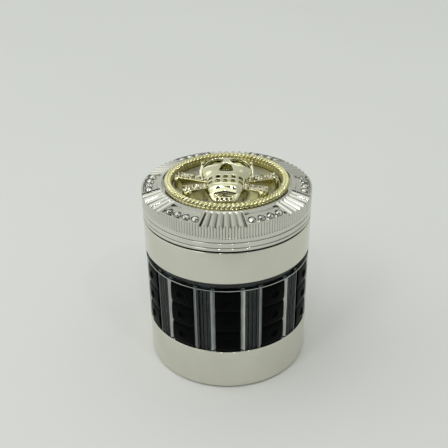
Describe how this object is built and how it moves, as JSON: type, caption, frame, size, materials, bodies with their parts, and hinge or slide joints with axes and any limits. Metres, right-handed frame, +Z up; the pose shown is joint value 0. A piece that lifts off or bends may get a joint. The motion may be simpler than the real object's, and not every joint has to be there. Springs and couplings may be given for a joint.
{
  "type": "hand grinder",
  "caption": "Round metal hand grinder in screw-together stages with a clear windowed chamber, rubber tread pads and a crystal-set lid with a gold skull and crossbones emblem.",
  "frame": {"origin": "centre of the foot, on the surface that it stands on", "axes": "+Z up along the grinder's axis; the skull's chin and one tread pad face -Y; +X is to the right seen from the front"},
  "size_m": [0.063, 0.063, 0.079],
  "materials": {
    "nickel_plate": "satin",
    "emblem_gold": "polished",
    "satin_plate": "matte",
    "crystal": "polished",
    "clear_acrylic": "polished",
    "tread_rubber": "satin",
    "gasket_rubber": "matte",
    "black_nylon": "satin",
    "magnet_steel": "polished",
    "sieve_steel": "satin"
  },
  "bodies": {
    "catcher": {"catcher_cup": "nickel_plate"},
    "lower_seal": {"lower_gasket": "gasket_rubber"},
    "chamber": {"window_ring": "clear_acrylic", "lower_collar": "nickel_plate", "sieve_mesh": "sieve_steel", "sieve_retainer": "nickel_plate", "upper_collar": "nickel_plate", "tread_pad_01": "tread_rubber", "tread_pad_02": "tread_rubber", "tread_pad_03": "tread_rubber", "tread_pad_04": "tread_rubber", "tread_pad_05": "tread_rubber", "tread_pad_06": "tread_rubber", "tread_pad_07": "tread_rubber", "tread_pad_08": "tread_rubber", "tread_pad_09": "tread_rubber", "tread_pad_10": "tread_rubber", "tread_pad_11": "tread_rubber"},
    "upper_seal": {"upper_gasket": "gasket_rubber"},
    "tray": {"tray_shell": "nickel_plate", "tray_magnet": "magnet_steel"},
    "glide": {"glide_ring": "black_nylon"},
    "lid": {"lid_shell": "nickel_plate", "lid_magnet": "magnet_steel", "emblem_plate": "satin_plate", "emblem_ring": "emblem_gold", "crossbones": "emblem_gold", "skull": "emblem_gold", "bone_stones": "crystal", "rim_stones": "crystal"}
  },
  "joints": [
    {"name": "chamber_lift", "type": "slide", "parent": "catcher", "child": "lower_seal", "axis": [0, 0, 1], "range_m": [0, 0.025]},
    {"name": "chamber_turn", "type": "hinge", "parent": "lower_seal", "child": "chamber", "pos_m": [0, 0, 0.0172], "axis": [0, 0, 1], "range_deg": [0, 450]},
    {"name": "tray_lift", "type": "slide", "parent": "chamber", "child": "upper_seal", "axis": [0, 0, 1], "range_m": [0, 0.025]},
    {"name": "tray_turn", "type": "hinge", "parent": "upper_seal", "child": "tray", "pos_m": [0, 0, 0.0475], "axis": [0, 0, 1], "range_deg": [0, 450]},
    {"name": "lid_lift", "type": "slide", "parent": "tray", "child": "glide", "axis": [0, 0, 1], "range_m": [0, 0.035]},
    {"name": "lid_spin", "type": "hinge", "parent": "glide", "child": "lid", "pos_m": [0, 0, 0.06], "axis": [0, 0, 1], "continuous": true}
  ]
}
